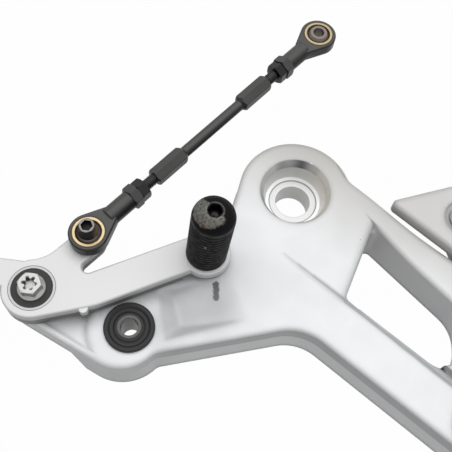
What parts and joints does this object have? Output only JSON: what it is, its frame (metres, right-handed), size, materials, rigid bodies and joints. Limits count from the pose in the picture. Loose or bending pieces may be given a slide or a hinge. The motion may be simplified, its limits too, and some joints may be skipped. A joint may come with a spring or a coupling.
{
  "type": "footrest bracket with shift lever",
  "caption": "Cast motorcycle footrest bracket with a bolt boss, windowed arms, heel guard and a bearing-mounted gear shift lever with grooved toe peg and a rod with ball-joint ends.",
  "frame": {"origin": "centre of the upper frame bore at the bracket's back face", "axes": "+Z along the upper frame bore, out of the bracket's outer face; +X towards the lower end with the footrest boss; +Y towards the upper edge"},
  "size_m": [0.2721, 0.2298, 0.0767],
  "materials": {
    "cast_silver": "satin silver over a fine cast grain",
    "lever_silver": "satin silver anodised",
    "bright_steel": "bright zinc plated and ground steel",
    "dark_steel": "dark bare steel",
    "black_steel": "black oxide",
    "race_brass": "turned brass",
    "black_rubber": "matte black rubber",
    "cage_plastic": "moulded plastic"
  },
  "bodies": {
    "bracket": {"bracket_casting": "cast_silver", "heel_guard": "cast_silver", "heel_guard_screws": "bright_steel", "pivot_bolt": "bright_steel", "pivot_sleeve": "dark_steel", "bearing_inner_ring": "bright_steel", "rubber_bush": "black_rubber", "bush_sleeve": "dark_steel"},
    "bearing_cage_set": {"bearing_balls": "bright_steel", "bearing_cage": "cage_plastic"},
    "shift_lever": {"shift_lever": "lever_silver", "bearing_outer_ring": "bright_steel", "bearing_seal_front": "black_rubber", "bearing_seal_rear": "black_rubber", "toe_peg": "black_steel", "ball_bolt": "black_steel", "lower_ball": "dark_steel"},
    "shift_rod": {"lower_rod_end": "black_steel", "lower_race": "race_brass", "lower_lock_nut": "black_steel", "lower_stud": "black_steel", "shift_rod": "black_steel", "upper_stud": "black_steel", "upper_lock_nut": "black_steel", "upper_rod_end": "black_steel", "upper_race": "race_brass"},
    "upper_ball": {"upper_ball": "dark_steel"}
  },
  "joints": [
    {"name": "shift_lever_pivot", "type": "hinge", "parent": "bracket", "child": "shift_lever", "pos_m": [-0.1195, -0.0708, 0.0265], "axis": [0, 0, 1], "range_deg": [-10, 10]},
    {"name": "bearing_cage_roll", "type": "hinge", "parent": "bracket", "child": "bearing_cage_set", "pos_m": [-0.1195, -0.0708, 0.0265], "axis": [0, 0, 1], "continuous": true},
    {"name": "shift_rod_swing", "type": "hinge", "parent": "shift_lever", "child": "shift_rod", "pos_m": [-0.0975, -0.0423, 0.0345], "axis": [0, 0, 1], "range_deg": [-30, 90]},
    {"name": "upper_ball_swivel", "type": "hinge", "parent": "shift_rod", "child": "upper_ball", "pos_m": [0.00415, 0.09334, 0.0345], "axis": [0, 0, 1], "continuous": true}
  ]
}
